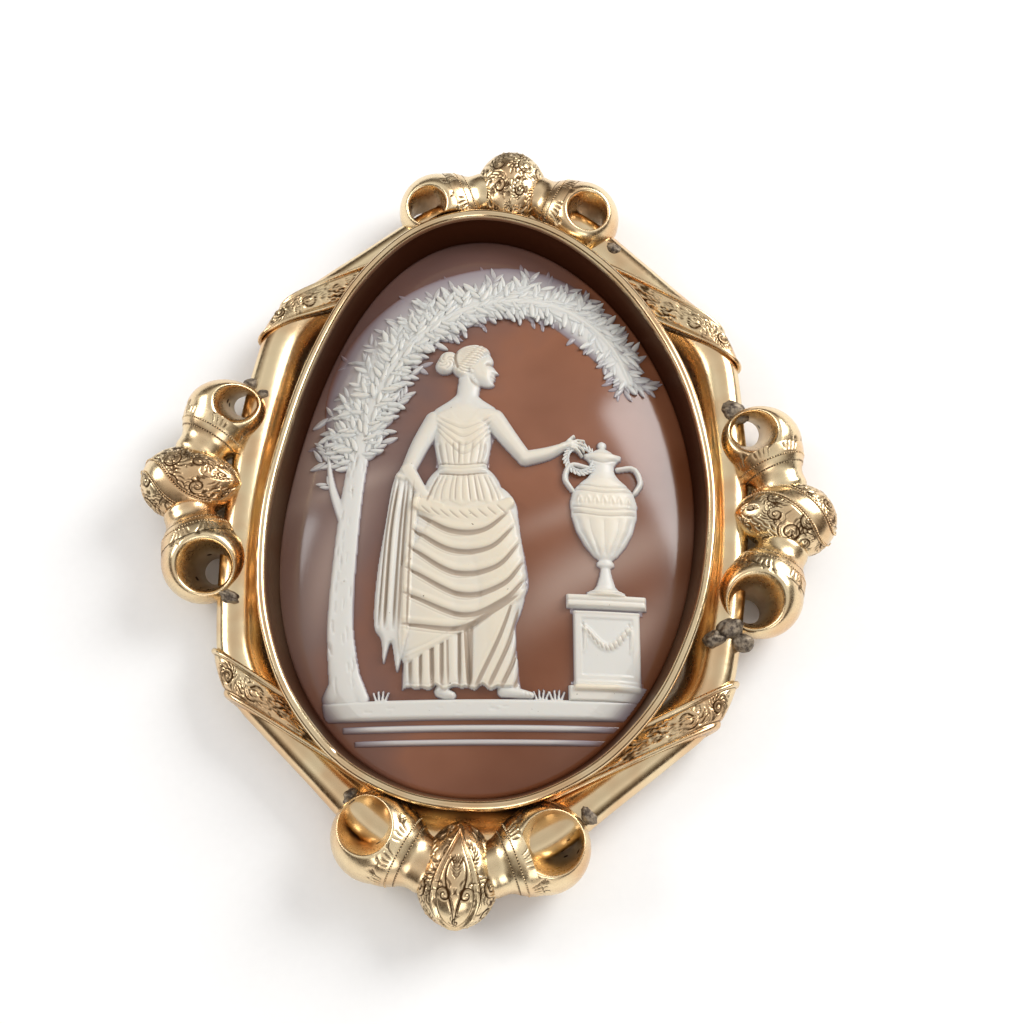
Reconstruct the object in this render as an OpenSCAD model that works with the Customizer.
// Cameo brooch, lying on its back.
// X runs across it, Y runs up it and Z comes out of its face. The origin is under its middle.

/* [Frame tube] */
// Half the width of the tube's centre line
frame_half_w = 22; // [21.5:0.1:24]
// Half the height of the tube's centre line
frame_half_h = 31.3; // [31:0.1:34]
// Outer diameter of the tube
tube_d = 3.16; // [2.6:0.02:3.4]
// Height of the tube's centre line above the surface that the brooch lies on
tube_z = 3.1; // [2.6:0.1:3.6]
// Radius of the two long side curves
side_r = 100; // [80:1:140]
// Angle that a side curve spans above and below the middle
side_span = 8; // [7:0.1:9]
// Radius of the four shoulders under the wrapped bands
shoulder_r = 9.7; // [8:0.1:11]
// Radius of the curve at the top and at the bottom
end_r = 13; // [12:0.1:14]

/* [Bezel] */
// How far the rim's side lies inside the tube's centre line, at its widest line
rim_side_in = 2; // [1.8:0.05:3]
// How far the rim's top lies inside the tube's centre line
rim_top_in = 2.3; // [2.2:0.05:3.5]
// How far the rim's bottom lies inside the tube's centre line
rim_bottom_in = 3.3; // [3:0.05:4]
// Height of the widest line above the frame's middle
rim_line_y = -2.3; // [-2.6:0.05:-2]
// How full the corners of the lower half are, where 2 is a true ellipse
rim_fullness = 2.1; // [2:0.01:2.2]
// How far the top of the oval is bent sideways
rim_bend = -3.6; // [-4:0.1:-2.6]
// How far the oval sits to the side of the frame's middle
rim_shift = 0.5; // [0:0.05:0.6]
// Turn of the oval in the frame, anticlockwise
rim_turn = -4.6; // [-5:0.1:-3]
// Height of the rim's top above the surface that the brooch lies on
rim_z = 6.6; // [6.2:0.05:7.2]
// Height of the bezel's foot
bezel_foot_z = 1.5; // [1.3:0.05:1.7]
// Width of the rim, from its outer to its inner edge
rim_w = 0.9; // [0.7:0.05:1.1]
// Height of the rounded rim
rim_t = 0.8; // [0.6:0.05:1]
// Thickness of the bezel's wall
bezel_wall = 0.5; // [0.4:0.05:0.6]
// How much narrower the bezel is at its foot than at its rim, on each side
bezel_taper = 1.3; // [1.2:0.05:1.5]
// How far the ledge reaches inward under the shell
ledge_w = 1.1; // [0.8:0.05:1.4]
// Thickness of the ledge
ledge_t = 0.4; // [0.3:0.05:0.5]

/* [Cameo] */
// Thickness of the shell at its edge
shell_edge_t = 1; // [0.8:0.05:1.2]
// How far the shell's face is domed
dome_h = 3.1; // [2.6:0.05:3.3]
// How far the shell's back is hollowed
hollow_h = 2.3; // [1.5:0.05:2.5]
// Play between the shell and the bezel's wall
shell_play = 0.1; // [0.08:0.01:0.2]
// Thickness of the white relief where it is fullest
relief_t = 1.25; // [0.8:0.05:1.5]
// Turn of the carved scene in the frame, anticlockwise
relief_turn = 4; // [0:0.5:6]

/* [Beads] */
// Greatest radius of a bead
bead_r = 3.42; // [3:0.02:3.5]
// How far the fullest part of the left and right beads lies outside the tube's centre line
side_bead_off = 5.7; // [5.5:0.1:6]
// How far the fullest part of the top and bottom beads lies outside the tube's centre line
end_bead_off = 2.05; // [1.9:0.05:2.6]
// Length of a bead from its fullest part to its outer end
bead_out = 3.76; // [3.4:0.02:4.2]
// Length of a left or right bead from its fullest part to its inner point
side_bead_in = 5.7; // [5:0.05:6]
// Length of the top or bottom bead from its fullest part to its inner point
end_bead_in = 5; // [4.4:0.05:5.1]
// Height of a bead's middle
bead_z = 3.8; // [3.7:0.05:4]
// How far a bead's inner point is tipped up on to the tube
bead_tilt = 11; // [6:0.5:12]

/* [Scroll hoops] */
// Radius of the ball that a hoop is made from
hoop_r = 3.79; // [3.5:0.01:3.85]
// How far the side hoops lie outside the tube's centre line
side_hoop_off = 2.5; // [2.2:0.05:3]
// Distance from the brooch's middle line to the side hoops, up or down
side_hoop_y = 7.3; // [7.2:0.05:8]
// Distance from the brooch's middle line to the top and bottom hoops, across
end_hoop_x = 6.95; // [6.8:0.05:7.4]
// How far the top and bottom hoops lie below the tube's highest point
end_hoop_in = 1.2; // [0.7:0.05:1.5]
// Radius of a hoop's mouth at its face
mouth_front_r = 2.7; // [2.4:0.05:2.8]
// Radius of a hoop's mouth at its back
mouth_back_r = 1.3; // [1:0.05:1.6]
// How far the mouth lies off the ball's middle
mouth_offset = 1.75; // [1.5:0.05:1.9]
// Direction of that offset, turned from the tube's run towards the tube
mouth_side = 35; // [20:1:50]
// How far the mouth leans away from the bead
mouth_lean = 14; // [0:1:20]
// Radius of the collar that joins a hoop to its bead
collar_r = 1.7; // [1.2:0.05:2]

/* [Wrapped bands] */
// Width of a band across its engraved face
band_w = 2.3; // [1.8:0.05:2.8]
// Thickness of a band
band_t = 0.36; // [0.25:0.01:0.45]
// Slant of a band against the straight run of the tube
band_slant = 15.1; // [13:0.1:20]
// How far the middle of a band lies beyond the end of the shoulder, along the tube
band_run = -1.62; // [-2.4:0.01:-0.8]

/* [Pin and catch] */
// Height of the pin above the brooch's middle line
pin_y = 9; // [6:0.5:12]
// Diameter of the pin's stem
pin_d = 0.9; // [0.7:0.05:1]
// Height of the pin's centre line
pin_z = 0.62; // [0.55:0.01:0.65]
// Diameter of the hinge's barrel
barrel_d = 1.2; // [1:0.05:1.2]
// Length of the hinge's barrel
barrel_l = 3.4; // [2.5:0.1:4]
// Length of the catch's hook along the pin
catch_l = 1.4; // [1:0.1:2]

/* [Seams] */
// Gap of a soldered seam between two pieces
seam = 0.05; // [0.03:0.01:0.08]

/* [Hidden] */
$fn = 64;
GOLD = "#d9a860";
SHELL = "#8a4a36";

tube_r = tube_d / 2;
ledge_z = bezel_foot_z + ledge_t;
edge_z = ledge_z + seam + shell_edge_t;
shell_inset = bezel_taper + bezel_wall + shell_play;
bezel_steps = 80;
under_rim = rim_z - rim_t;
rim_half_w = frame_half_w - rim_side_in;
rim_reach_up = frame_half_h - rim_top_in - rim_line_y;
rim_reach_down = frame_half_h - rim_bottom_in + rim_line_y;
side_bead_x = frame_half_w + side_bead_off;
end_bead_y = frame_half_h + end_bead_off;
side_hoop_x = frame_half_w + side_hoop_off;
end_hoop_y = frame_half_h - end_hoop_in;
rim_foot = 0.45 * rim_w;

// The tube's centre line is three arcs and a straight in each quarter, all of them tangent.
shoulder_from = [frame_half_w - side_r + side_r * cos(side_span), side_r * sin(side_span)];
shoulder_c = shoulder_from - shoulder_r * [cos(side_span), sin(side_span)];
end_c = [0, frame_half_h - end_r];
reach = end_c - shoulder_c;
flank = atan2(reach.y, reach.x) - acos((shoulder_r - end_r) / norm(reach));
flank_normal = [cos(flank), sin(flank)];
flank_from = shoulder_c + shoulder_r * flank_normal;
flank_to = end_c + end_r * flank_normal;

// A point of the bezel's oval at angle t, moved inward by inset.
function power(v, p) = sign(v) * pow(abs(v), p);
function oval(t, inset = 0) =
    let (up = sin(t) > 0,
         p = up ? 1 : 2 / rim_fullness,
         x = (rim_half_w - inset) * power(cos(t), p) + rim_shift + (up ? rim_bend * pow(sin(t), 2) : 0),
         y = ((up ? rim_reach_up : rim_reach_down) - inset) * power(sin(t), p) + rim_line_y)
    [x * cos(rim_turn) - y * sin(rim_turn), x * sin(rim_turn) + y * cos(rim_turn)];

// A point of the first quarter of the centre line, where the outward normal has this angle.
function quarter_point(angle) =
    let (normal = [cos(angle), sin(angle)])
    angle <= side_span ? [frame_half_w - side_r, 0] + side_r * normal
        : angle <= flank ? shoulder_c + shoulder_r * normal
        : end_c + end_r * normal;

// Stations of the first quarter, each a point and its normal's angle. The straight is a pair of them.
QUARTER = concat(
    [for (i = [0 : 3]) let (a = side_span * i / 4) [quarter_point(a), a]],
    [for (i = [0 : 6]) let (a = side_span + (flank - side_span) * i / 6) [quarter_point(a), a]],
    [[(flank_from + flank_to) / 2, flank], [flank_to, flank]],
    [for (i = [1 : 6]) let (a = flank + (90 - flank) * i / 6) [quarter_point(a), a]]);

// The same stations in the other quarters, in order round the brooch.
function flipped(stations, across, up) =
    [for (s = stations) [[across * s[0].x, up * s[0].y], across > 0 ? up * s[1] : 180 - up * s[1]]];
function backwards(list) = [for (i = [len(list) - 1 : -1 : 0]) list[i]];
function without_ends(list) = [for (i = [1 : len(list) - 2]) list[i]];
CENTRE_LINE = concat(
    QUARTER,
    backwards(without_ends(flipped(QUARTER, -1, 1))),
    flipped(QUARTER, -1, -1),
    backwards(without_ends(flipped(QUARTER, 1, -1))));

// Triangles of a ring that is closed both along its run and round its profile.
function ring_faces(steps, count) =
    [for (i = [0 : steps - 1], j = [0 : count - 1])
        let (a = i * count + j,
             b = i * count + (j + 1) % count,
             c = ((i + 1) % steps) * count + (j + 1) % count,
             d = ((i + 1) % steps) * count + j)
        each [[a, b, c], [a, c, d]]];

// A point beside the centre line, at this distance and this angle round it.
function beside(centre, normal, run_r, turn) =
    [centre.x + run_r * cos(turn) * cos(normal), centre.y + run_r * cos(turn) * sin(normal),
     tube_z + run_r * sin(turn)];

module frame_tube() {
    sides = 12;
    points = [for (s = CENTRE_LINE, j = [0 : sides - 1]) beside(s[0], s[1], tube_r, 360 * j / sides)];
    color(GOLD)
        polyhedron(points = points, faces = ring_faces(len(CENTRE_LINE), sides));
}

// The way of the tube through the pieces that it carries, with the play of a soldered seam.
module arc_way(centre, r, from, to) {
    translate([centre.x, centre.y, tube_z])
        rotate([0, 0, from])
            rotate_extrude(angle = to - from, $fn = r > 50 ? 720 : 120)
                translate([r, 0])
                    circle(r = tube_r + seam, $fn = 48);
}

module side_way() {
    arc_way([frame_half_w - side_r, 0], side_r, -side_span, side_span);
}

module end_way() {
    spare = 12;
    arc_way(end_c, end_r, flank - spare, 180 - flank + spare);
}

// Its child in the quarter that has this side across and this side up.
module quarter(across, up) {
    mirror([across < 0 ? 1 : 0, 0, 0])
        mirror([0, up < 0 ? 1 : 0, 0])
            children();
}

// A closed ring swept round the oval. Each row of the profile is an inset and a height.
module oval_ring(profile) {
    points = [for (i = [0 : bezel_steps - 1], row = profile)
        let (p = oval(360 * i / bezel_steps, row[0])) [p.x, p.y, row[1]]];
    polyhedron(points = points, faces = ring_faces(bezel_steps, len(profile)));
}

// A tapered collet with a rounded rim above and a ledge for the shell below.
module bezel() {
    inner_foot = bezel_taper + bezel_wall;
    color(GOLD)
        oval_ring([[bezel_taper, bezel_foot_z],
                   [rim_foot, under_rim],
                   [0, under_rim + 0.35 * rim_t],
                   [0.12 * rim_w, rim_z - 0.15 * rim_t],
                   [0.4 * rim_w, rim_z],
                   [0.7 * rim_w, rim_z - 0.05 * rim_t],
                   [rim_w, under_rim + 0.5 * rim_t],
                   [rim_w, under_rim],
                   [inner_foot, ledge_z],
                   [inner_foot + ledge_w, ledge_z],
                   [inner_foot + ledge_w, bezel_foot_z]]);
}

// The room that the bezel takes up, with the play of a soldered seam. Its wall stands in by inset.
module bezel_room(inset = 0) {
    spare = 1;
    translate([0, 0, -spare])
        linear_extrude(height = 2 * hoop_r + 2 * spare)
            polygon([for (i = [0 : bezel_steps - 1]) oval(360 * i / bezel_steps, inset - seam)]);
}

// How far the bezel's wall stands in from the rim's outer edge, at this height.
function wall_inset(z) = rim_foot + (bezel_taper - rim_foot) * (under_rim - z) / (under_rim - bezel_foot_z);

// The carved scene is a table of tapered strokes. Its lengths are hundredths of the shell's reach.
// Columns: x and y of the first end, its radius, x and y of the second end, its radius, height share.
FIGURE = [
    [-4, 47, 8, -5, 45, 7.5, 0.8],
    [-13, 50, 5, -11, 47, 5, 0.8],
    [-6, 39, 4, -8, 33, 5, 0.7],
    [-13, 27, 9, -2, 26, 9, 0.8],
    [-8, 25, 12, -8, 8, 10.5, 1],
    [-8, -2, 14, -8, -10, 15, 1],
    [-1, -8, 12, 4, -34, 9, 1],
    [4, -34, 9, -1, -64, 7, 0.9],
    [-14, -8, 12, -16, -62, 11, 0.8],
    [-24, -64, 5, 8, -65, 5, 0.7],
    [0, 27, 6, 13, 12, 5, 0.9],
    [13, 12, 4.8, 28, 17, 3.6, 0.9],
    [-18, 26, 6, -26, 8, 5.5, 0.8],
    [-26, 8, 5, -17, -5, 4.5, 1],
    [-27, 6, 6, -33, -28, 6.5, 0.6],
    [-33, -28, 6.5, -30, -56, 5, 0.55]];
VASE = [
    [38, -4, 11, 38, -14, 8, 0.9],
    [38, 5, 6, 38, 9, 5, 0.75],
    [31, 13, 2.6, 45, 13, 2.6, 0.8],
    [38, -22, 3.5, 38, -28, 3.5, 0.7],
    [31, -31, 3, 45, -31, 3, 0.75],
    [28, -66, 3, 28, -38, 3, 0.6],
    [48, -66, 3, 48, -38, 3, 0.6],
    [38, -66, 10, 38, -42, 10, 0.55],
    [26, -36, 3, 50, -36, 3, 0.7]];
TREE = [
    [-45, -66, 6, -47, -22, 4.5, 0.5],
    [-47, -22, 4.5, -43, 16, 4, 0.5],
    [-43, 16, 4, -32, 50, 3.4, 0.5],
    [-32, 50, 3.4, -8, 72, 3, 0.45],
    [-8, 72, 3, 22, 76, 2.6, 0.4],
    [22, 76, 2.6, 42, 60, 2.4, 0.4],
    [-47, 38, 9, -44, 48, 9, 0.5],
    [-38, 62, 9, -28, 70, 9, 0.5],
    [-14, 80, 9, 0, 84, 9, 0.5],
    [14, 84, 8, 28, 78, 9, 0.45],
    [36, 68, 8, 46, 56, 8, 0.4],
    [47, 46, 6, 48, 38, 5, 0.35]];
PLINTH = [
    [-48, -71.5, 3.2, 50, -71.5, 3.2, 0.6],
    [-44, -76.5, 1.6, 46, -76.5, 1.6, 0.45],
    [-40, -82, 1.4, 42, -82, 1.4, 0.4]];
STROKES = concat(FIGURE, VASE, TREE, PLINTH);

// Height share of one tapered stroke at point p.
function stroke_height(p, s) =
    let (a = [s[0], s[1]],
         run = [s[3], s[4]] - a,
         along = max(0, min(1, (p - a) * run / (run * run))),
         r = s[2] + (s[5] - s[2]) * along,
         off = norm(p - a - run * along) / r)
    off < 1 ? s[6] * sqrt(1 - off * off) : 0;

// Height share of the whole scene at a point of the shell, in millimetres.
function relief_share(p, unit) =
    let (x = p.x * cos(relief_turn) + p.y * sin(relief_turn),
         y = -p.x * sin(relief_turn) + p.y * cos(relief_turn))
    max([for (s = STROKES) stroke_height([x, y] / unit, s)]);

// A domed shell, hollowed behind, with the scene standing up from its face.
module cameo() {
    rings = 36;
    steps = 96;
    back_rings = 4;
    middle = (oval(90, shell_inset) + oval(270, shell_inset)) / 2;
    unit = (rim_reach_up + rim_reach_down - 2 * shell_inset) / 200;
    outline = [for (i = [0 : steps - 1]) oval(360 * i / steps, shell_inset) - middle];
    seat_z = ledge_z + seam;
    face = [for (k = [1 : rings], edge = outline)
        let (share = k / rings, p = middle + edge * share, clear = min(1, 6 * (1 - share)))
        [p.x, p.y, edge_z + dome_h * (1 - share * share) + relief_t * clear * relief_share(p, unit)]];
    back = [for (k = [0 : back_rings - 1], edge = outline)
        let (share = 1 - k / back_rings, p = middle + edge * share)
        [p.x, p.y, seat_z + hollow_h * (1 - share * share)]];
    crown = [middle.x, middle.y, edge_z + dome_h + relief_t * relief_share(middle, unit)];
    hollow = [middle.x, middle.y, seat_z + hollow_h];
    points = concat([crown], face, back, [hollow]);
    last = len(points) - 1;
    loops = rings + back_rings;
    faces = concat(
        [for (i = [0 : steps - 1]) [0, 1 + (i + 1) % steps, 1 + i]],
        [for (k = [0 : loops - 2], i = [0 : steps - 1])
            let (a = 1 + k * steps + i, b = 1 + k * steps + (i + 1) % steps)
            each [[a, b, b + steps], [a, b + steps, a + steps]]],
        [for (i = [0 : steps - 1])
            [last, 1 + (loops - 1) * steps + i, 1 + (loops - 1) * steps + (i + 1) % steps]]);
    color(SHELL)
        polyhedron(points = points, faces = faces);
}

// A flat ribbon that crosses the tube on the slant, and closes behind it. Its edges are where two
// upright slanted planes, half the band's width either side of its middle, cut a sleeve on the tube.
// The sleeve's own run s is zero where the shoulder meets the flank, and grows towards the flank.
function band_station(s) =
    s < 0 ? let (a = flank + s / shoulder_r * 180 / PI) [shoulder_c + shoulder_r * [cos(a), sin(a)], a]
        : [flank_from + s * [-sin(flank), cos(flank)], flank];
function band_point(s, run_r, turn) =
    let (station = band_station(s))
    beside(station[0], station[1], run_r, turn);
band_middle = band_station(band_run)[0];
band_angle = 90 - flank - band_slant;
function off_middle(p) = (p.x - band_middle.x) * sin(band_angle) + (p.y - band_middle.y) * cos(band_angle);
function run_at(target, run_r, turn, low, high, tries = 18) =
    let (mid = (low + high) / 2)
    tries == 0 ? mid
        : off_middle(band_point(mid, run_r, turn)) < target ? run_at(target, run_r, turn, mid, high, tries - 1)
        : run_at(target, run_r, turn, low, mid, tries - 1);

module wrap_band(across, up) {
    steps = 32;
    cuts = 4;
    inner_r = tube_r + seam;
    outer_r = inner_r + band_t;
    points = [for (i = [0 : steps - 1])
        let (turn = -360 * i / steps,
             low = run_at(-band_w / 2, outer_r, turn, -shoulder_r, 2 * shoulder_r),
             high = run_at(band_w / 2, outer_r, turn, -shoulder_r, 2 * shoulder_r))
        each concat([for (k = [0 : cuts]) band_point(low + (high - low) * k / cuts, outer_r, turn)],
                    [for (k = [cuts : -1 : 0]) band_point(low + (high - low) * k / cuts, inner_r, turn)])];
    color(GOLD)
        difference() {
            quarter(across, up)
                polyhedron(points = points, faces = ring_faces(steps, 2 * cuts + 2));
            bezel_room(wall_inset(tube_z + tube_r));
        }
}

// A drop-shaped bead along -X, with its fullest part at the origin and its point inward.
module drop(inward, r) {
    steps = 14;
    inner = [for (i = [0 : steps - 1]) let (s = 1 - i / steps) [r * pow(1 - s * s, 0.8), -inward * s]];
    outer = [for (i = [0 : steps]) let (a = 90 * i / steps) [r * cos(a), bead_out * sin(a)]];
    rotate([0, -90, 0])
        rotate_extrude()
            polygon(concat(inner, outer));
}

// Places its child, made along -X, at a bead's seat: from is the bead's distance, aim its direction.
module at_bead(from, aim) {
    rotate([0, 0, aim - 180])
        translate([-from, 0, bead_z])
            rotate([0, bead_tilt, 0])
                children();
}

module bead_shape(which, grow = 0) {
    if (which == "left")
        at_bead(side_bead_x, 180) drop(side_bead_in + grow, bead_r + grow);
    if (which == "right")
        at_bead(side_bead_x, 0) drop(side_bead_in + grow, bead_r + grow);
    if (which == "top")
        at_bead(end_bead_y, 90) drop(end_bead_in + grow, bead_r + grow);
    if (which == "bottom")
        at_bead(end_bead_y, 270) drop(end_bead_in + grow, bead_r + grow);
}

module bead(which) {
    upright = which == "top" || which == "bottom";
    color(GOLD)
        difference() {
            bead_shape(which);
            quarter(which == "left" ? -1 : 1, which == "bottom" ? -1 : 1)
                if (upright)
                    end_way();
                else
                    side_way();
            if (which == "top")
                bezel_room();
        }
}

// A hollow ball opened by a slanted eccentric mouth, with the tube's way cut through it.
// It is made in the upper right quarter, aim being the direction that leads away from the bead,
// and inward, 1 or -1, the side of that direction on which the tube lies.
module hoop_ball(centre, aim, inward) {
    translate([centre.x, centre.y, hoop_r])
        rotate([0, 0, aim])
            difference() {
                sphere(r = hoop_r);
                translate([mouth_offset * cos(mouth_side), inward * mouth_offset * sin(mouth_side), 0])
                    rotate([0, mouth_lean, 0])
                        translate([0, 0, -1.3 * hoop_r])
                            cylinder(r1 = mouth_back_r, r2 = mouth_front_r, h = 2.6 * hoop_r);
            }
}

module side_hoop(across, up) {
    color(GOLD)
        quarter(across, up)
            difference() {
                union() {
                    hoop_ball([side_hoop_x, side_hoop_y], 90, 1);
                    translate([side_hoop_x, side_hoop_y - 0.5 * hoop_r, hoop_r])
                        rotate([90, 0, 30])
                            cylinder(r = collar_r, h = hoop_r);
                }
                side_way();
                bead_shape("right", seam);
            }
}

module end_hoop(across, up) {
    aim = atan2(end_hoop_y - end_c.y, end_hoop_x) - 90;
    color(GOLD)
        quarter(across, up)
            difference() {
                union() {
                    hoop_ball([end_hoop_x, end_hoop_y], aim, -1);
                    translate([end_hoop_x - 0.5 * hoop_r, end_hoop_y, hoop_r])
                        rotate([90, 0, -60])
                            cylinder(r = collar_r, h = hoop_r);
                }
                end_way();
                bead_shape("top", seam);
                quarter(across, up)
                    bezel_room();
            }
}

// Hinge, pin and catch on the back, as one plain piece.
module pin_and_catch() {
    foot_in = bezel_taper + bezel_wall + ledge_w / 2;
    height = bezel_foot_z - seam;
    level = asin((pin_y - rim_line_y) / rim_reach_up);
    hinge = oval(level, foot_in);
    catch = oval(180 - level, foot_in);
    color(GOLD) {
        translate([catch.x, pin_y, pin_z])
            rotate([0, 90, 0])
                cylinder(d = pin_d, h = hinge.x - catch.x);
        translate([hinge.x, pin_y + barrel_l / 2, barrel_d / 2])
            rotate([90, 0, 0])
                cylinder(d = barrel_d, h = barrel_l);
        translate([hinge.x - barrel_d / 2, pin_y - barrel_l / 2, barrel_d / 2])
            cube([barrel_d, barrel_l, height - barrel_d / 2]);
        translate([catch.x - catch_l / 2, pin_y - pin_d, pin_z - pin_d / 2])
            cube([catch_l, 2 * pin_d, height - pin_z + pin_d / 2]);
    }
}

frame_tube();
bezel();
cameo();
wrap_band(-1, 1);  // wrap_band_upper_left
wrap_band(1, 1);  // wrap_band_upper_right
wrap_band(-1, -1);  // wrap_band_lower_left
wrap_band(1, -1);  // wrap_band_lower_right
bead("left");  // bead_left
bead("right");  // bead_right
bead("top");  // bead_top
bead("bottom");  // bead_bottom
side_hoop(-1, 1);  // hoop_left_upper
side_hoop(-1, -1);  // hoop_left_lower
side_hoop(1, 1);  // hoop_right_upper
side_hoop(1, -1);  // hoop_right_lower
end_hoop(-1, 1);  // hoop_top_left
end_hoop(1, 1);  // hoop_top_right
end_hoop(-1, -1);  // hoop_bottom_left
end_hoop(1, -1);  // hoop_bottom_right
pin_and_catch();
